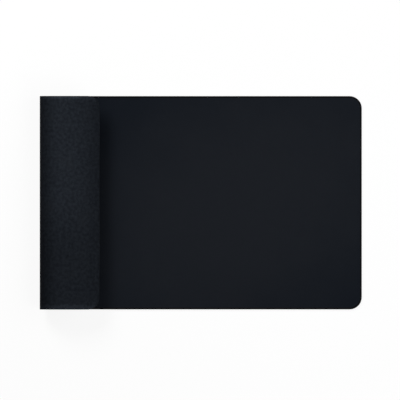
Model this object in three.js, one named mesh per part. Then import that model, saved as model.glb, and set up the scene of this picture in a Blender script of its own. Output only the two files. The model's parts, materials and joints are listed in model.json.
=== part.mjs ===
// A soft desk pad lying on a desk with its left end curled back over itself.
// Three sheets are glued face to face and cut flush: a leatherette top, a foam core and a suede backing.
// Millimetres, +Z up. X runs along the pad, Y across it, and the desk is the plane z = 0.
// A sheet bends everywhere at once. Here the curl is cut into narrow strips, each with the curve that it
// has in the curl, and the pad turns between one strip and the next when the curl is opened.

import * as THREE from 'three';

// The pad laid flat
const padLength = 650;
const padWidth = 350;
const cornerRadius = 20;

// The three sheets, from the desk up, and the glue between them
const backingThickness = 0.9;
const coreThickness = 1.1;
const topThickness = 0.9;
const glueThickness = 0.05;

// The curl, followed from the desk round to the free end: arcs that meet without a kink
const liftRadius = 50;
const liftTurn = 20;
const foldRadius = 20;
const archRadius = 45;
const archTurn = 40;
const droopRadius = 100;
const droopTurn = 20;
const halfTurn = 180;

// How many strips each arc is cut into
const liftStrips = 2;
const foldStrips = 9;
const archStrips = 3;
const droopStrips = 2;

// The straight end of the pad, past the curl, before its rounded corners begin
const straightBeforeCorner = 8;

// The slit between two strips: room left at its tight side when the pad lies flat
const slitClearance = 0.15;

// Facets on the round stretches
const stripFacetPairs = 2;
const cornerFacetPairs = 5;

const radians = THREE.MathUtils.degToRad;
const thickness = backingThickness + coreThickness + topThickness + 2 * glueThickness;
const endLength = cornerRadius + straightBeforeCorner;

// Each sheet's lower face and upper face, as heights over the underside of the pad
const coreFloor = backingThickness + glueThickness;
const coreCeiling = coreFloor + coreThickness;
const topFloor = coreCeiling + glueThickness;
const sheets = [
  { name: 'suede_backing', floor: 0, ceiling: backingThickness, color: 0x1e2127, roughness: 0.95 },
  { name: 'foam_core', floor: coreFloor, ceiling: coreCeiling, color: 0x17181a, roughness: 0.9 },
  { name: 'leather_top', floor: topFloor, ceiling: thickness, color: 0x1c1e23, roughness: 0.5 },
];

// The fold makes up whatever turn brings the top of the arch level
const arcs = [
  { radius: liftRadius, turn: radians(liftTurn), strips: liftStrips },
  { radius: foldRadius, turn: radians(halfTurn - liftTurn - archTurn), strips: foldStrips },
  { radius: archRadius, turn: radians(archTurn), strips: archStrips },
  { radius: droopRadius, turn: radians(droopTurn), strips: droopStrips },
];
const curlLength = arcs.reduce((sum, arc) => sum + arc.radius * arc.turn, 0);
const mainLength = padLength - curlLength - endLength;

// The turn of every panel in order: the flat main panel, each strip, then the flat free end
const panelTurns = [0, ...arcs.flatMap((arc) => Array(arc.strips).fill(arc.turn / arc.strips)), 0];

// As the pad is laid flat, a slit closes on its outer side by half the thickness times the angle turned there
function halfSlit(slit) {
  const angleTurned = (panelTurns[slit] + panelTurns[slit + 1]) / 2;
  return (angleTurned * thickness / 2 + slitClearance) / 2;
}

function sheetMesh(geometry, sheet, place) {
  const material = new THREE.MeshStandardMaterial({
    color: sheet.color,
    roughness: sheet.roughness,
    metalness: 0,
  });
  const mesh = new THREE.Mesh(geometry, material);
  mesh.name = `${sheet.name}_${place}`;
  return mesh;
}

// A flat panel reaching along +X from its cut edge, with its two far corners rounded, drawn from above
function panelShape(cutEdge, length) {
  const half = padWidth / 2;
  const shape = new THREE.Shape();
  shape.moveTo(cutEdge, -half);
  shape.lineTo(length - cornerRadius, -half);
  shape.absarc(length - cornerRadius, -half + cornerRadius, cornerRadius, -Math.PI / 2, 0, false);
  shape.lineTo(length, half - cornerRadius);
  shape.absarc(length - cornerRadius, half - cornerRadius, cornerRadius, 0, Math.PI / 2, false);
  shape.lineTo(cutEdge, half);
  shape.closePath();
  return shape;
}

// The three sheets of a flat panel, with the underside of the pad at z = 0
function panelSheets(cutEdge, length, place) {
  const panel = new THREE.Group();
  for (const sheet of sheets) {
    const geometry = new THREE.ExtrudeGeometry(panelShape(cutEdge, length), {
      depth: sheet.ceiling - sheet.floor,
      bevelEnabled: false,
      curveSegments: cornerFacetPairs,
    });
    const mesh = sheetMesh(geometry, sheet, place);
    mesh.position.z = sheet.floor;
    panel.add(mesh);
  }
  return panel;
}

// One strip of a sheet, seen along +Y: a slice of a ring round the arc's centre.
// The angle turned starts at the bottom of the ring and runs clockwise, up its left side.
function stripGeometry(arc, sheet, from, to) {
  const outer = arc.radius + thickness / 2 - sheet.floor;
  const inner = arc.radius + thickness / 2 - sheet.ceiling;
  const bottom = -Math.PI / 2;
  const shape = new THREE.Shape();
  shape.absarc(0, 0, outer, bottom - from, bottom - to, true);
  shape.absarc(0, 0, inner, bottom - to, bottom - from, false);
  shape.closePath();
  const geometry = new THREE.ExtrudeGeometry(shape, {
    depth: padWidth,
    bevelEnabled: false,
    curveSegments: stripFacetPairs,
  });
  geometry.translate(0, 0, -padWidth / 2);
  geometry.rotateX(Math.PI / 2);
  return geometry;
}

const deskPad = new THREE.Group();

// The main panel lies flat on the desk, from the start of the curl to the right-hand end
const mainPanel = panelSheets(halfSlit(0), mainLength, 'main');
deskPad.add(mainPanel);

// The curl: x and z follow the middle of the pad's thickness, and turned is how far it has turned so far
let x = 0;
let z = thickness / 2;
let turned = 0;
let stripCount = 0;
for (const arc of arcs) {
  const ring = new THREE.Group();
  ring.position.set(x + arc.radius * Math.sin(turned), 0, z + arc.radius * Math.cos(turned));
  const stripTurn = arc.turn / arc.strips;
  for (let i = 0; i < arc.strips; i += 1) {
    const from = turned + i * stripTurn + halfSlit(stripCount) / arc.radius;
    const to = turned + (i + 1) * stripTurn - halfSlit(stripCount + 1) / arc.radius;
    stripCount += 1;
    for (const sheet of sheets) {
      const place = `curl_${String(stripCount).padStart(2, '0')}`;
      ring.add(sheetMesh(stripGeometry(arc, sheet, from, to), sheet, place));
    }
  }
  deskPad.add(ring);
  turned += arc.turn;
  x = ring.position.x - arc.radius * Math.sin(turned);
  z = ring.position.z - arc.radius * Math.cos(turned);
}

// The free end goes straight on from the last strip, upside down and still drooping.
// It is a panel like the main one, reaching the other way from its cut edge.
const freeEnd = panelSheets(halfSlit(stripCount), endLength, 'end');
freeEnd.rotation.z = Math.PI;
freeEnd.position.z = -thickness / 2;
const freeEndHinge = new THREE.Group();
freeEndHinge.position.set(x, 0, z);
freeEndHinge.rotation.y = turned;
freeEndHinge.add(freeEnd);
deskPad.add(freeEndHinge);

// The origin is on the desk, under the middle of the pad as it lies
const bounds = new THREE.Box3().setFromObject(deskPad);
deskPad.position.x = -(bounds.min.x + bounds.max.x) / 2;

export default deskPad;
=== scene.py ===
import json
import math
from collections import namedtuple

import bpy
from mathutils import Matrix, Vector

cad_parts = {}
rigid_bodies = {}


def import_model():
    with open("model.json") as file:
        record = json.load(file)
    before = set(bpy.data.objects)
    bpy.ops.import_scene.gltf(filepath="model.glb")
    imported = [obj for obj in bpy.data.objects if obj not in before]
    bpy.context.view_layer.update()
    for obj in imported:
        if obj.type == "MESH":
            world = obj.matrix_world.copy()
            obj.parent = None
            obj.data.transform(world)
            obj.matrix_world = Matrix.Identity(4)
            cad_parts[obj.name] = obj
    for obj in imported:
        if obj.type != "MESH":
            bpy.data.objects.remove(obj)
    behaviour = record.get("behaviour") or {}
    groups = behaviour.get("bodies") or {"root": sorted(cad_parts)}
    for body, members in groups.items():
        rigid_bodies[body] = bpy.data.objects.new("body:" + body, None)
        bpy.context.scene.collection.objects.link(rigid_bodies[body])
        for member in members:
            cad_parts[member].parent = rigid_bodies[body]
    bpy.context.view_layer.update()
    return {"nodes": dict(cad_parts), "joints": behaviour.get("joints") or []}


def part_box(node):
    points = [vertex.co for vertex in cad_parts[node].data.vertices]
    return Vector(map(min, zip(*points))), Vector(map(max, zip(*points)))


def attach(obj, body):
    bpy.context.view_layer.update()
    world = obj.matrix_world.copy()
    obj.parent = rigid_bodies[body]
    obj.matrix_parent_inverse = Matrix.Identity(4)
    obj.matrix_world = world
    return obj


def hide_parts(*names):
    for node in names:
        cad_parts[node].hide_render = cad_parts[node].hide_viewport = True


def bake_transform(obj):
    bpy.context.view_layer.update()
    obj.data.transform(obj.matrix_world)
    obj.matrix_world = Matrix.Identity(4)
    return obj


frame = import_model()

# Suede backing
# The underside of the pad: a soft napped sheet, dark blue-grey, that keeps the pad from sliding on a desk.
# It is cut in one piece with the two sheets over it, and the curl turns its left end face up.

# How the pad lies: flat from its right-hand end to the start of the curl, then round a row of arcs.
# The hinges stand at mid thickness where one arc meets the next. Each opens by half of both arcs' turns.
Arc = namedtuple("Arc", "start length x z heading radius")
pad_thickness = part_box("leather_top_main")[1].z
hinges = frame["joints"]
curl_start = hinges[0]["pos_m"][0]
curl_arcs = []
curl_length = 0.0
curl_turn = 0.0
arc_turn = 0.0
for hinge, next_hinge in zip(hinges, hinges[1:]):
    arc_turn = 2 * math.radians(hinge["range_deg"][1]) - arc_turn
    corner = Vector(hinge["pos_m"])
    chord = (Vector(next_hinge["pos_m"]) - corner).length
    arc_radius = chord / (2 * math.sin(arc_turn / 2))
    arc_length = arc_radius * arc_turn
    curl_arcs.append(Arc(curl_length, arc_length, corner.x, corner.z, curl_turn, arc_radius))
    curl_length += arc_length
    curl_turn += arc_turn

# The pad's outline before it is curled, measured along it from the start of the curl
pad_length = 0.650
pad_corner_radius = 0.020
pad_half_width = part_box("suede_backing_main")[1].y
right_end = curl_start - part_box("suede_backing_main")[1].x
free_end = right_end + pad_length
right_corners = right_end + pad_corner_radius
free_corners = free_end - pad_corner_radius

# A sheet that has been rolled keeps a slight wave along its free edge
edge_wave_height = 0.0012
edge_wave_length = 0.19
edge_wave_shift = 0.6
edge_wave_start = 0.045


def edge_wave(along, across):
    """How far the pad stands off its even curve, towards its leather side."""
    grown = min(max((along - edge_wave_start) / (free_end - edge_wave_start), 0), 1)
    swing = math.sin(2 * math.pi * across / edge_wave_length + edge_wave_shift)
    return edge_wave_height * grown * grown * (1 + swing) / 2


def curled(along, across, height):
    """Where a point of the flat pad lies when the pad is curled. Height is over the pad's underside."""
    if along <= 0:
        return Vector((curl_start - along, across, height))
    arc = [begun for begun in curl_arcs if begun.start <= along][-1]
    on_arc = min(along - arc.start, arc.length)
    past_arc = along - arc.start - on_arc
    heading = arc.heading + on_arc / arc.radius
    reach = arc.radius - (height - pad_thickness / 2) - edge_wave(along, across)
    x = arc.x + arc.radius * math.sin(arc.heading) - reach * math.sin(heading)
    z = arc.z + arc.radius * math.cos(arc.heading) - reach * math.cos(heading)
    return Vector((x - past_arc * math.cos(heading), across, z + past_arc * math.sin(heading)))


# The pad is made in stretches that meet at seams in the middle of each arc, one stretch for each hinge.
# As a hinge opens, the line from it to either seam turns by half as much as the pad does at that seam.
# A stretch whose seams follow the second body by that share stays evenly bent, and so ends up flat.
Stretch = namedtuple("Stretch", "name begin stop bodies shares")
seam_before_corners = 0.001
seams = [-curl_arcs[0].length / 2]
seams += [arc.start + arc.length / 2 for arc in curl_arcs]
seams += [free_corners - seam_before_corners]
arc_turns = [0, *(arc.length / arc.radius for arc in curl_arcs), 0]
stretches = [Stretch("main", right_end, seams[0], [hinges[0]["parent"]], [])]
for number, hinge in enumerate(hinges):
    bodies = [hinge["parent"], hinge["child"]]
    before, after = arc_turns[number : number + 2]
    shares = [before / (before + after) / 2, 1 - after / (before + after) / 2]
    name = f"curl_{number + 1:02d}"
    stretches.append(Stretch(name, seams[number], seams[number + 1], bodies, shares))
stretches.append(Stretch("end", seams[-1], free_end, [hinges[-1]["child"]], []))


def even_steps(begin, stop, longest):
    """Places from begin to stop, evenly spaced and no further apart than longest."""
    count = math.ceil(abs(stop - begin) / longest)
    return [begin + (stop - begin) * step / count for step in range(count + 1)]


corner_steps = 12
corner_angles = [math.pi / 2 * step / corner_steps for step in range(corner_steps + 1)]
flat_row_spacing = 0.012
curl_row_spacing = 0.0012
end_row_spacing = 0.003


def sheet_rows(stretch, inset):
    """The places along a stretch at which a sheet has a row of points, inset from the pad's cut edge."""
    round_part = [(pad_corner_radius - inset) * math.sin(angle) for angle in corner_angles]
    if stretch.name == "main":
        straight = even_steps(right_corners, stretch.stop, flat_row_spacing)
        return [right_corners - into for into in reversed(round_part)] + straight[1:]
    if stretch.name == "end":
        straight = even_steps(stretch.begin, free_corners, end_row_spacing)
        return straight[:-1] + [free_corners + into for into in round_part]
    return even_steps(stretch.begin, stretch.stop, curl_row_spacing)


def half_width_at(along, inset):
    """Half the width of a sheet at a place along the pad, inset from the cut edge."""
    radius = pad_corner_radius - inset
    into_corner = min(max(right_corners - along, along - free_corners, 0), radius)
    return pad_half_width - pad_corner_radius + math.sqrt(radius**2 - into_corner**2)


sharp_edge_angle = math.radians(50)


def swept_piece(name, *runs):
    """A closed piece through runs of rings of points on the flat pad. Each run has a cap at either end.

    Points of a ring that fall together become one, and a face that this leaves with no area is dropped.
    """
    numbers = {}
    faces = []

    def add_face(*corners):
        merged = list(dict.fromkeys(numbers.setdefault(corner, len(numbers)) for corner in corners))
        if len(merged) > 2:
            faces.append(merged)

    for rings in runs:
        size = len(rings[0])
        for ring, next_ring in zip(rings, rings[1:]):
            for spot in range(size):
                add_face(ring[spot - 1], ring[spot], next_ring[spot], next_ring[spot - 1])
        first, last = rings[0], rings[-1]
        for spot in range(size // 2 - 1):
            opposite = size - 1 - spot
            add_face(first[spot + 1], first[spot], first[opposite], first[opposite - 1])
            add_face(last[spot], last[spot + 1], last[opposite - 1], last[opposite])
    mesh = bpy.data.meshes.new(name)
    mesh.from_pydata([curled(*point) for point in numbers], [], faces)
    flat_place = mesh.attributes.new("flat_place", "FLOAT_VECTOR", "POINT")
    flat_place.data.foreach_set("vector", [value for point in numbers for value in point])
    mesh.shade_smooth()
    mesh.set_sharp_from_angle(angle=sharp_edge_angle)
    piece = bpy.data.objects.new(name, mesh)
    bpy.context.collection.objects.link(piece)
    return piece


def eased_place(share):
    """How far along a blend, from 0 to 1, a point has turned by a share of it. A blend eases in and out."""
    return 0.5 - math.sin(math.asin(1 - 2 * share) / 3)


def fix_to_bodies(piece, stretch):
    """A stretch at either end rides on its body. One over a hinge stays where it lies and rides on no body.
    """
    if len(stretch.bodies) == 1:
        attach(piece, stretch.bodies[0])
        return
    begin, stop = [curled(along, 0, pad_thickness / 2) for along in (stretch.begin, stretch.stop)]
    first, last = [eased_place(share) for share in stretch.shares]
    whole_turn = (stop - begin) / (last - first)
    start = begin - first * whole_turn
    tuple(start + whole_turn)
    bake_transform(piece)


# A stretch over a hinge has a thin tongue that slides inside the one before.
# It keeps the seam from gaping as the pad opens.
tongue_length = 0.0004
tongue_depth = 0.000015


def tongue_places(stretch):
    """The places along the pad at which a stretch's tongue begins and ends."""
    return [stretch.begin - tongue_length, stretch.begin]


sheet_columns = 56


def laid_sheet(sheet, inset, finish):
    """One of the three glued sheets, in all its stretches, inset from the painted edge of the pad."""
    low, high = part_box(f"{sheet}_main")
    columns = [2 * column / sheet_columns - 1 for column in range(sheet_columns + 1)]
    pieces = []

    def ring(along, depth):
        half = half_width_at(along, inset) - depth
        upper = [(along, column * half, high.z - depth) for column in columns]
        lower = [(along, column * half, low.z + depth) for column in reversed(columns)]
        return upper + lower

    for stretch in stretches:
        rings = [ring(along, 0) for along in sheet_rows(stretch, inset)]
        if len(stretch.bodies) == 2:
            tongue = [ring(along, tongue_depth) for along in tongue_places(stretch)]
            rings = tongue + rings
        piece = swept_piece(f"{sheet}_sheet_{stretch.name}", rings)
        piece.data.materials.append(finish)
        fix_to_bodies(piece, stretch)
        node = f"{sheet}_{stretch.name}"
        if node in frame["nodes"]:
            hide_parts(node)
        pieces.append(piece)
    return pieces


class Value:
    """An output of a finish's nodes. Sums with it add Math nodes, and node() adds any other kind."""

    def __init__(self, tree, socket):
        self.tree = tree
        self.socket = socket

    def node(self, kind, settings, inputs, output=0):
        made = self.tree.nodes.new(kind)
        for name, setting in settings.items():
            setattr(made, name, setting)
        for name, value in inputs.items():
            if isinstance(value, Value):
                self.tree.links.new(value.socket, made.inputs[name])
            else:
                made.inputs[name].default_value = value
        return Value(self.tree, made.outputs[output] if made.outputs else None)

    def sum_node(self, operation, first, second):
        return self.node("ShaderNodeMath", {"operation": operation}, {0: first, 1: second})

    def __add__(self, other):
        return self.sum_node("ADD", self, other)

    def __radd__(self, other):
        return self.sum_node("ADD", other, self)

    def __sub__(self, other):
        return self.sum_node("SUBTRACT", self, other)

    def __rsub__(self, other):
        return self.sum_node("SUBTRACT", other, self)

    def __mul__(self, other):
        return self.sum_node("MULTIPLY", self, other)

    def __rmul__(self, other):
        return self.sum_node("MULTIPLY", other, self)


def blank_nodes(owner):
    """Clears a finish of its nodes, and gives the start for new ones."""
    owner.use_nodes = True
    owner.node_tree.nodes.clear()
    return Value(owner.node_tree, None)


def new_finish(name):
    """A finish with no nodes yet but the place on the flat pad, which stays put when the pad bends."""
    finish = bpy.data.materials.new(name)
    start = blank_nodes(finish)
    return finish, start.node("ShaderNodeAttribute", {"attribute_name": "flat_place"}, {}, output="Vector")


mottling_mean = 0.5


def mottling(place, size, detail, output=0):
    """Soft random mottling about as coarse as size, in metres, around a mean of one half."""
    inputs = {"Vector": place, "Scale": 1 / size, "Detail": detail}
    return place.node("ShaderNodeTexNoise", {}, inputs, output)


def between(value, limits):
    """0 where the value is at the lower limit or less and 1 at the upper one or more, easing between."""
    low, high = limits
    settings = {"interpolation_type": "SMOOTHSTEP"}
    return value.node("ShaderNodeMapRange", settings, {"Value": value, "From Min": low, "From Max": high})


# The Mix node's sockets for colours have numbers, because each of their names stands for several kinds
mix_share, mix_first, mix_second, mix_result = 0, 6, 7, 2


def blended_colour(share, first, second):
    """A colour that goes from the first to the second as share goes from 0 to 1."""
    inputs = {mix_share: share, mix_first: first, mix_second: second}
    return share.node("ShaderNodeMix", {"data_type": "RGBA"}, inputs, mix_result)


def vector_sum(operation, first, *others, output=0):
    """What a Vector Math node makes of the first vector and the others."""
    inputs = dict(enumerate((first, *others)))
    return first.node("ShaderNodeVectorMath", {"operation": operation}, inputs, output)


def shaded_colour(colour, shade):
    """The colour, made as many times as bright as shade says."""
    return colour.node("ShaderNodeVectorMath", {"operation": "SCALE"}, {0: colour, "Scale": shade})


def turned(place, angle):
    """The place, turned on the flat pad by an angle."""
    settings = {"rotation_type": "Z_AXIS"}
    return place.node("ShaderNodeVectorRotate", settings, {"Vector": place, "Angle": angle})


def raised(height, depth, strength):
    """The relief of a surface that stands up by depth, in metres, from where height is 0 to where it is 1."""
    return height.node("ShaderNodeBump", {}, {"Height": height, "Distance": depth, "Strength": strength})


def set_surface(place, look):
    """Ends a finish in one shader with the given look."""
    shader = place.node("ShaderNodeBsdfPrincipled", {}, look)
    place.node("ShaderNodeOutputMaterial", {}, {"Surface": shader})


# The nap: fibres that lie two ways in turn, tuft by tuft, gathered in clumps and brushed in broad patches
suede_dark = (0.0065, 0.0080, 0.0107, 1)
suede_light = (0.0128, 0.0156, 0.0200, 1)
suede_worn = (0.0116, 0.0134, 0.0160, 1)
suede_clump_size = 0.0050
suede_clump_share = 0.66
suede_tuft_size = 0.0030
suede_tuft_limits = (0.42, 0.58)
suede_fibre_width = 0.00022
suede_fibre_slimness = 6.0
suede_fibre_leans = (math.radians(35), math.radians(-50))
suede_fibre_limits = (0.34, 0.66)
suede_fibre_share = 0.22
suede_brush_size = 0.045
suede_brush_share = 0.10
suede_tone_limits = (0.27, 0.61)
suede_rubbed_limits = (0.55, 0.80)
suede_rubbed_share = 0.35
suede_nap_height = 0.00025
suede_nap_strength = 0.6
suede_roughness = 0.74
suede_fibre_roughness = 0.08

# The nap is painted darker round the tight bend and along the free edge, as painted shade where the curl
# turns away from the light.
# Over the crown, at the pad's far side, it is painted lighter, as a painted highlight.
bend_shade_places = (0.040, 0.088)
bend_shade_share = 0.75
border_width = 0.026
border_hem = 0.004
# Painted shade along the free edge, where the flap tilts away from the light
free_edge_shade_places = (free_end - border_width, free_end - border_hem)
free_edge_shade_share = 0.14
crown_places = (0.100, 0.160)
# Painted highlight over the crown on the pad's far side
crest_light_places = (-0.078, 0.020)
crest_light_gain = 0.37

# Along its cut edges the nap is lighter, most on the near side.
# Places on this rim are measured outwards from where the corners begin. It fades out at the free end.
pad_middle = ((right_end + free_end) / 2, 0, 0)
inside_corners = (pad_length / 2 - pad_corner_radius, pad_half_width - pad_corner_radius, pad_thickness)
rim_insets = (0.0068, 0.0020)
rim_places = [pad_corner_radius - inset for inset in rim_insets]
rim_ends = (0.014, 0.004)
rim_end_places = [free_end - before_end for before_end in rim_ends]
rim_gain = 0.52
rim_stray = 0.006
near_places = (-0.10, 0.10)
near_rim_extra = 0.0028


def combed_fibres(place, lean):
    """Fine fibres that lie along one way on the sheet, dark between and light along each of them."""
    slimmed = (1 / suede_fibre_slimness, 1.0, 1.0)
    drawn_out = vector_sum("MULTIPLY", turned(place, lean), slimmed)
    return mottling(drawn_out, suede_fibre_width, detail=1)


suede_finish, place = new_finish("suede_nap")
along = place.node("ShaderNodeSeparateXYZ", {}, {0: place}, output="X")
across = place.node("ShaderNodeSeparateXYZ", {}, {0: place}, output="Y")
clumps = mottling(place, suede_clump_size, detail=2)
tufts = between(mottling(place, suede_tuft_size, detail=1), suede_tuft_limits)
first_way, second_way = [combed_fibres(place, lean) for lean in suede_fibre_leans]
fibres = between(first_way * tufts + second_way * (1 - tufts), suede_fibre_limits)
brushed = mottling(place, suede_brush_size, detail=3)
nap = suede_clump_share * clumps + suede_fibre_share * fibres
tone = between(nap + suede_brush_share * (brushed - mottling_mean), suede_tone_limits)
colour = blended_colour(tone, suede_dark, suede_light)
rubbed = between(brushed, suede_rubbed_limits)
colour = blended_colour(suede_rubbed_share * rubbed, colour, suede_worn)
# Painted shade round the tight bend of the curl
painted_bend_shade = 1 - between(along, bend_shade_places)
# Painted shade along the free edge of the curl
painted_free_edge_shade = between(along, free_edge_shade_places)
# Painted highlight over the crown on the pad's far side
painted_crest_light = between(across, crest_light_places) * (1 - between(along, crown_places))
from_middle = vector_sum("ABSOLUTE", vector_sum("SUBTRACT", place, pad_middle))
past_inside = vector_sum("MAXIMUM", vector_sum("SUBTRACT", from_middle, inside_corners), (0, 0, 0))
outwards = vector_sum("LENGTH", past_inside, output="Value") + rim_stray * (clumps - mottling_mean)
near_side = 1 - between(across, near_places)
rim = between(outwards + near_rim_extra * near_side, rim_places) * (1 - between(along, rim_end_places))
# The painted shade at the bend and the free edge, the painted highlight over the crown and the lighter rim
# scale the nap's colour
darkening = 1 - bend_shade_share * painted_bend_shade - free_edge_shade_share * painted_free_edge_shade
shade = darkening * (1 + crest_light_gain * painted_crest_light) * (1 + rim_gain * rim)
suede_look = {
    "Base Color": shaded_colour(colour, shade),
    "Roughness": suede_roughness + suede_fibre_roughness * fibres,
    "Normal": raised(nap, suede_nap_height, suede_nap_strength),
    "Specular IOR Level": 0.01,
    "Sheen Weight": 0.003,
    "Sheen Roughness": 0.45,
    "Sheen Tint": (0.62, 0.72, 0.90, 1),
}
set_surface(place, suede_look)

suede_inset = 0.0006
suede_pieces = laid_sheet("suede_backing", suede_inset, suede_finish)

# Foam core
# The spring of the pad: a thin sheet of fine-celled black foam, glued between the suede and the leatherette.
# It is hidden by the two other sheets and by the painted edge.

foam_black = (0.006, 0.006, 0.007, 1)
foam_wall = (0.013, 0.013, 0.015, 1)
foam_cell_size = 0.0005
foam_cell_depth = 0.00012
foam_cell_strength = 0.7
foam_wall_limits = (0.03, 0.20)
foam_roughness = 0.85
foam_wall_roughness = 0.1


def cells(place, size):
    """Packed cells about as wide as size, in metres: 0 on the walls between them and more inside them."""
    settings = {"feature": "DISTANCE_TO_EDGE"}
    return place.node("ShaderNodeTexVoronoi", settings, {"Vector": place, "Scale": 1 / size})


foam_finish, place = new_finish("fine_celled_foam")
# The hollows of the cells are painted darker than their walls, as painted shade in them
cell_walls = 1 - between(cells(place, foam_cell_size), foam_wall_limits)
foam_look = {
    "Base Color": blended_colour(cell_walls, foam_black, foam_wall),
    "Roughness": foam_roughness + foam_wall_roughness * cell_walls,
    "Normal": raised(cell_walls, foam_cell_depth, foam_cell_strength),
    "Specular IOR Level": 0.2,
}
set_surface(place, foam_look)

foam_inset = suede_inset
foam_pieces = laid_sheet("foam_core", foam_inset, foam_finish)

# Leatherette top
# The working face: a coated sheet embossed with a very fine pebble grain, dark blue-grey with a low lustre.
# It is glued over the foam, and the curl turns it inwards.

leather_dark = (0.0036, 0.0055, 0.0091, 1)
leather_light = (0.0092, 0.0110, 0.0147, 1)
leather_pebble_size = 0.0010
leather_stray = 0.0008
leather_stray_size = 0.0025
leather_crease_limits = (0.02, 0.22)
# Painted shade: the creases between the pebbles are painted darker by this share
leather_crease_shade_share = 0.30
leather_pore_size = 0.0003
leather_pore_height = 0.18
leather_pore_share = 0.2
leather_cloud_size = 0.07
leather_cloud_share = 0.5
leather_tone_limits = (-0.10, 1.10)
leather_grain_depth = 0.00007
leather_grain_strength = 0.8
leather_roughness = 0.62
leather_grain_roughness = 0.05
leather_cloud_roughness = 0.05

# The middle of the face is painted a little lighter, as a painted pool of light that fades towards the edges
# and corners
painted_light_middle = (-0.287, -0.003, 0.0)
painted_light_reach = (0.49, 0.32, 1.0)
painted_light_slant = math.radians(27)
painted_light_limits = (0.07, 1.0)

leather_finish, place = new_finish("leatherette_grain")
wander = mottling(place, leather_stray_size, detail=1, output="Color")
strayed = vector_sum("MULTIPLY_ADD", wander, (leather_stray, leather_stray, leather_stray), place)
creases = 1 - between(cells(strayed, leather_pebble_size), leather_crease_limits)
pores = mottling(place, leather_pore_size, detail=2)
clouds = mottling(place, leather_cloud_size, detail=3)
grain = 1 - creases + leather_pore_height * pores
# Painted light: a lighter pool over the middle of the face, fading to painted shade towards its edges
from_painted_light = turned(vector_sum("SUBTRACT", place, painted_light_middle), painted_light_slant)
within_reach = vector_sum("DIVIDE", from_painted_light, painted_light_reach)
painted_light_pool = 1 - between(vector_sum("LENGTH", within_reach, output="Value"), painted_light_limits)
clouding = leather_cloud_share * (clouds - mottling_mean)
tone = painted_light_pool + clouding + leather_pore_share * (pores - mottling_mean)
colour = blended_colour(between(tone, leather_tone_limits), leather_dark, leather_light)
leather_look = {
    # The base colour carries painted shade in the creases of the grain
    "Base Color": shaded_colour(colour, 1 - leather_crease_shade_share * creases),
    "Roughness": leather_roughness - leather_grain_roughness * grain + leather_cloud_roughness * clouds,
    "Normal": raised(grain, leather_grain_depth, leather_grain_strength),
    "Specular IOR Level": 0.04,
}
set_surface(place, leather_look)

leather_inset = 0.0015
leather_pieces = laid_sheet("leather_top", leather_inset, leather_finish)

# Edge paint
# The cut edge of the three sheets, sealed with two coats of black edge paint laid on with a roller.
# The paint dries to a rounded bead with a satin skin that laps a little over the leather.

# The bead's section, as places out from the cut edge and up from the underside.
# Its skin runs from the lip on the leather over a round nose down to the foot. Its back lies on the sheets.
lip_width = 0.0028
lip_slope = 0.0004
lip_rise = 0.00006
lip_sink = 0.00003
nose_radius = 0.0014
foot_height = 0.0011
foot_tuck = 0.0005
foot_rise = 0.00002
bead_steps = 7
quarter = [math.pi / 2 * step / bead_steps for step in range(bead_steps + 1)]
lip_top = pad_thickness + lip_rise
leather_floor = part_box("leather_top_main")[0].z

bead_skin = [(-lip_width, pad_thickness), (lip_slope - lip_width, lip_top)]
for turn in quarter:
    nose_point = (nose_radius * (math.sin(turn) - 1), lip_top + nose_radius * (math.cos(turn) - 1))
    bead_skin.append(nose_point)
for turn in quarter:
    foot_point = (foot_tuck * (math.cos(turn) - 1), foot_rise + foot_height * (1 - math.sin(turn)))
    bead_skin.append(foot_point)


def bead_back(out, height):
    """The point on the sheets' edges that lies behind a point of the bead's skin."""
    if height > pad_thickness - nose_radius / 2:
        return (min(out, -leather_inset), pad_thickness - lip_sink)
    if height > leather_floor:
        return (-leather_inset, leather_floor)
    return (-suede_inset, height)


bead_section = bead_skin + [bead_back(*point) for point in reversed(bead_skin)]

# A point on the cut edge, the way that faces out of the pad there, and how far the bead is drawn in
EdgePoint = namedtuple("EdgePoint", "along across out_along out_across depth")


def side_of_pad(side, places, depth=0):
    """Points on one long side of the cut edge."""
    return [EdgePoint(along, side * pad_half_width, 0, side, depth) for along in places]


def round_corner(facing, along, across, angles):
    """Points round one corner of the cut edge, at the end of the pad that faces 1 or -1 along it."""
    points = []
    for angle in angles:
        out_along = facing * math.sin(angle)
        out_across = facing * math.cos(angle)
        spot = (along + pad_corner_radius * out_along, across + pad_corner_radius * out_across)
        points.append(EdgePoint(*spot, out_along, out_across, 0))
    return points


def cut_edge(stretch):
    """The cut edge of a stretch, in runs that keep the pad on their left."""
    if len(stretch.bodies) == 2:
        places = even_steps(stretch.begin, stretch.stop, curl_row_spacing)
        run = side_of_pad(1, tongue_places(stretch), tongue_depth) + side_of_pad(1, places)
        other_run = [point._replace(across=-point.across, out_across=-1) for point in reversed(run)]
        return [run, other_run]
    facing, seam, corners = (-1, stretch.stop, right_corners)
    if stretch.name == "end":
        facing, seam, corners = (1, stretch.begin, free_corners)
    places = even_steps(seam, corners, end_row_spacing)[:-1]
    across = facing * (pad_half_width - pad_corner_radius)
    second_angles = [math.pi / 2 + angle for angle in corner_angles]
    end_line = corners + facing * pad_corner_radius
    end_places = even_steps(across, -across, end_row_spacing)[1:-1]
    run = side_of_pad(facing, places)
    run += round_corner(facing, corners, across, corner_angles)
    run += [EdgePoint(end_line, spot, facing, 0, 0) for spot in end_places]
    run += round_corner(facing, corners, -across, second_angles)
    run += side_of_pad(-facing, reversed(places))
    return [run]


def bead_ring(point):
    """The section of the bead at a point of the cut edge."""
    ring = []
    for out, height in bead_section:
        out -= point.depth
        height -= math.copysign(point.depth, height - pad_thickness / 2)
        ring.append((point.along + out * point.out_along, point.across + out * point.out_across, height))
    return ring


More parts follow.
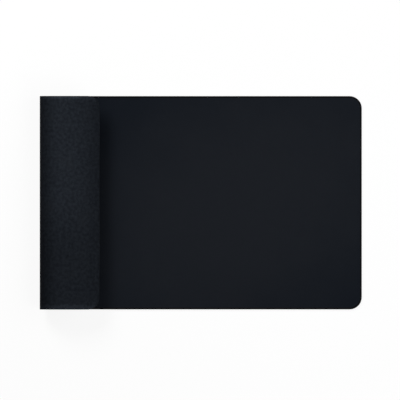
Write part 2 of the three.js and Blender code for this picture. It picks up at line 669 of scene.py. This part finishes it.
paint_black = (0.0014, 0.0015, 0.0018, 1)
paint_thin = (0.0040, 0.0043, 0.0050, 1)
paint_ridge_size = 0.004
paint_ridge_share = 0.6
paint_speck_size = 0.0007
paint_speck_share = 0.4
paint_thin_limits = (0.50, 0.72)
paint_ridge_height = 0.00006
paint_ridge_strength = 0.8
paint_speck_height = 0.15
paint_roughness = 0.40
paint_thin_roughness = 0.16

paint_finish, place = new_finish("edge_paint")
ridges = mottling(place, paint_ridge_size, detail=2)
specks = mottling(place, paint_speck_size, detail=2)
thin = between(paint_ridge_share * ridges + paint_speck_share * specks, paint_thin_limits)
paint_look = {
    "Base Color": blended_colour(thin, paint_black, paint_thin),
    "Roughness": paint_roughness + paint_thin_roughness * thin,
    "Normal": raised(ridges + paint_speck_height * specks, paint_ridge_height, paint_ridge_strength),
    "Specular IOR Level": 0.03,
}
set_surface(place, paint_look)

for stretch in stretches:
    runs = [[bead_ring(point) for point in run] for run in cut_edge(stretch)]
    piece = swept_piece(f"edge_paint_{stretch.name}", *runs)
    piece.data.materials.append(paint_finish)
    fix_to_bodies(piece, stretch)

# Desk
# A plain white desk top under the pad. It is white wherever the camera or a reflection sees it,
# apart from the shade that the pad throws on it.

desk_size = 40.0
desk_gap = 0.0002
desk_paint = (0.95, 0.95, 0.95, 1)
shade_share = 0.12
shade_reach = (0.40, 1.00)


def seen_directly(start):
    """1 for a ray from the camera, off a shiny surface or through a clear one, and 0 for plain light."""
    rays = ("Is Camera Ray", "Is Glossy Ray", "Is Transmission Ray")
    seen, mirrored, through = [start.node("ShaderNodeLightPath", {}, {}, output=ray) for ray in rays]
    return seen + mirrored + through


half_desk = desk_size / 2
corner_ways = ((-1, -1), (1, -1), (1, 1), (-1, 1))
desk_corners = [(x * half_desk, y * half_desk, -desk_gap) for x, y in corner_ways]
desk_mesh = bpy.data.meshes.new("desk")
desk_mesh.from_pydata(desk_corners, [], [(0, 1, 2, 3)])
desk = bpy.data.objects.new("desk", desk_mesh)
bpy.context.collection.objects.link(desk)

desk_finish = bpy.data.materials.new("white_desk")
start = blank_nodes(desk_finish)
paint = start.node("ShaderNodeBsdfDiffuse", {}, {"Color": desk_paint})
white = start.node("ShaderNodeEmission", {}, {"Strength": 1.0})
spot = start.node("ShaderNodeTexCoord", {}, {}, output="Object")
from_pad = vector_sum("LENGTH", spot, output="Value")
shaded = shade_share * (1 - between(from_pad, shade_reach))
plain = (1 - shaded) * seen_directly(start)
surface = start.node("ShaderNodeMixShader", {}, {0: plain, 1: paint, 2: white})
start.node("ShaderNodeOutputMaterial", {}, {"Surface": surface})
desk_mesh.materials.append(desk_finish)

# Studio light
# A large softbox over the pad's upper left, two weaker ones over its right, and dim white walls all round.
# No lamp stands where its mirror image would lie on the leather as the camera sees it.

Lamp = namedtuple("Lamp", "name place width power")
lamps = [
    Lamp("key_softbox", (-1.10, 1.45, 1.50), 1.0, 42.0),
    Lamp("near_softbox", (0.90, -0.75, 1.40), 1.0, 9.6),
    Lamp("right_softbox", (1.20, 0.30, 1.20), 1.0, 8.6),
]
for lamp in lamps:
    light = bpy.data.lights.new(lamp.name, "AREA")
    light.shape = "SQUARE"
    light.size = lamp.width
    light.energy = lamp.power
    holder = bpy.data.objects.new(lamp.name, light)
    holder.location = lamp.place
    holder.rotation_euler = (-holder.location).to_track_quat("-Z", "Y").to_euler()
    holder.visible_camera = False
    bpy.context.collection.objects.link(holder)

# The walls give way to a darker ceiling between these heights, where 1 is straight up
wall_white = (1.0, 1.0, 1.0, 1)
wall_strength = 0.29
ceiling_strength = 0.048
ceiling_heights = (0.35, 0.85)

studio = bpy.data.worlds.new("white_walls")
start = blank_nodes(studio)
way = start.node("ShaderNodeTexCoord", {}, {}, output="Generated")
upward = way.node("ShaderNodeSeparateXYZ", {}, {0: way}, output="Z")
level = wall_strength + (ceiling_strength - wall_strength) * between(upward, ceiling_heights)
dim = start.node("ShaderNodeBackground", {}, {"Color": wall_white, "Strength": level})
white = start.node("ShaderNodeBackground", {}, {"Color": wall_white, "Strength": 1.0})
surface = start.node("ShaderNodeMixShader", {}, {0: seen_directly(start), 1: dim, 2: white})
start.node("ShaderNodeOutputWorld", {}, {"Surface": surface})
bpy.context.scene.world = studio

# Camera
# It looks straight down on the pad through a long lens, which draws the raised curl no larger than the rest.

camera_lens = 1400.0
camera_sensor = 36.0
camera_sight = 100.0
pixels_across = 400
metres_per_pixel = 0.001641
camera_aim = (-0.00137, 0.00452)

camera_data = bpy.data.cameras.new("photo_camera")
camera_data.lens = camera_lens
camera_data.sensor_width = camera_sensor
camera_data.clip_end = camera_sight
camera = bpy.data.objects.new("photo_camera", camera_data)
camera_height = pixels_across * metres_per_pixel * camera_lens / camera_sensor
camera.location = (*camera_aim, camera_height)
bpy.context.collection.objects.link(camera)
bpy.context.scene.camera = camera
bpy.context.scene.view_settings.view_transform = "Standard"
